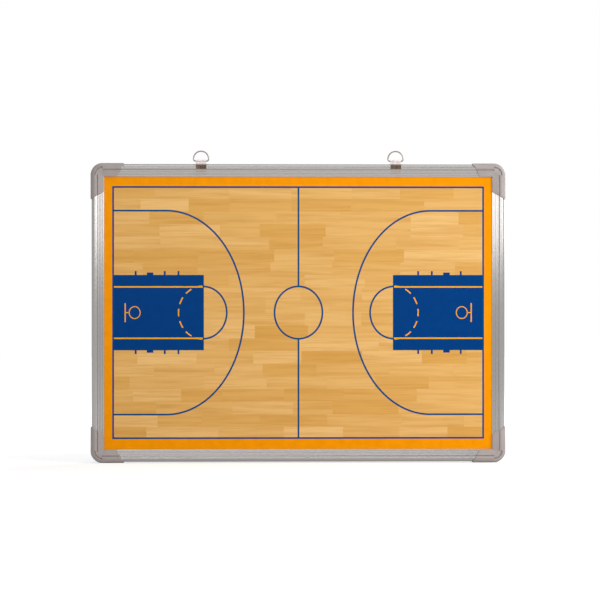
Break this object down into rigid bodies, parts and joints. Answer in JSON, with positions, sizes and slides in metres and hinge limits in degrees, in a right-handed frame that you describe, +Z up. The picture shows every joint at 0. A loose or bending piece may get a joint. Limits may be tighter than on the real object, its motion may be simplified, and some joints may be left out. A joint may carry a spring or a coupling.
{
  "type": "tactics board",
  "caption": "Wall-hung magnetic tactics board: a printed ball court face in an aluminium rail frame with rounded plastic corner caps and swinging wire D-rings along its top edge.",
  "frame": {"origin": "centre of the plane of the corner caps' flat backs, which lies against the wall", "axes": "+X to the right along the board seen from its front, +Z up the board, -Y out of the writing face"},
  "size_m": [0.4524, 0.0139, 0.3399],
  "materials": {
    "printed_film": "printed court under a glossy wipeable laminate",
    "coated_steel": "cold-rolled steel sheet, primed",
    "core": "light paper honeycomb and fibreboard core",
    "galvanised_steel": "thin galvanised sheet with fine spangle",
    "anodised_aluminium": "natural anodised extrusion with fine die lines",
    "cap_plastic": "warm grey moulded plastic, satin",
    "key_plastic": "black moulded plastic",
    "clip_steel": "nickel-plated steel strip",
    "plated_wire": "nickel-plated steel wire",
    "plated_screws": "zinc-plated steel",
    "rivet_aluminium": "bare aluminium"
  },
  "bodies": {
    "board": {"printed_face_film": "printed_film", "steel_face_sheet": "coated_steel", "core_board": "core", "back_sheet": "galvanised_steel", "cap_screws": "plated_screws", "hanger_rivets": "rivet_aluminium", "rail_top": "anodised_aluminium", "rail_bottom": "anodised_aluminium", "rail_left": "anodised_aluminium", "rail_right": "anodised_aluminium", "corner_cap_top_left": "cap_plastic", "corner_key_top_left": "key_plastic", "corner_cap_top_right": "cap_plastic", "corner_key_top_right": "key_plastic", "corner_cap_bottom_left": "cap_plastic", "corner_key_bottom_left": "key_plastic", "corner_cap_bottom_right": "cap_plastic", "corner_key_bottom_right": "key_plastic", "left_hanger_clip": "clip_steel", "right_hanger_clip": "clip_steel"},
    "left_ring": {"left_d_ring": "plated_wire"},
    "right_ring": {"right_d_ring": "plated_wire"}
  },
  "joints": [
    {"name": "left_ring_swing", "type": "hinge", "parent": "board", "child": "left_ring", "pos_m": [-0.106, -0.0074, 0.1655], "axis": [1, 0, 0], "range_deg": [-115, 123]},
    {"name": "right_ring_swing", "type": "hinge", "parent": "board", "child": "right_ring", "pos_m": [0.106, -0.0074, 0.1655], "axis": [1, 0, 0], "range_deg": [-115, 123]}
  ]
}
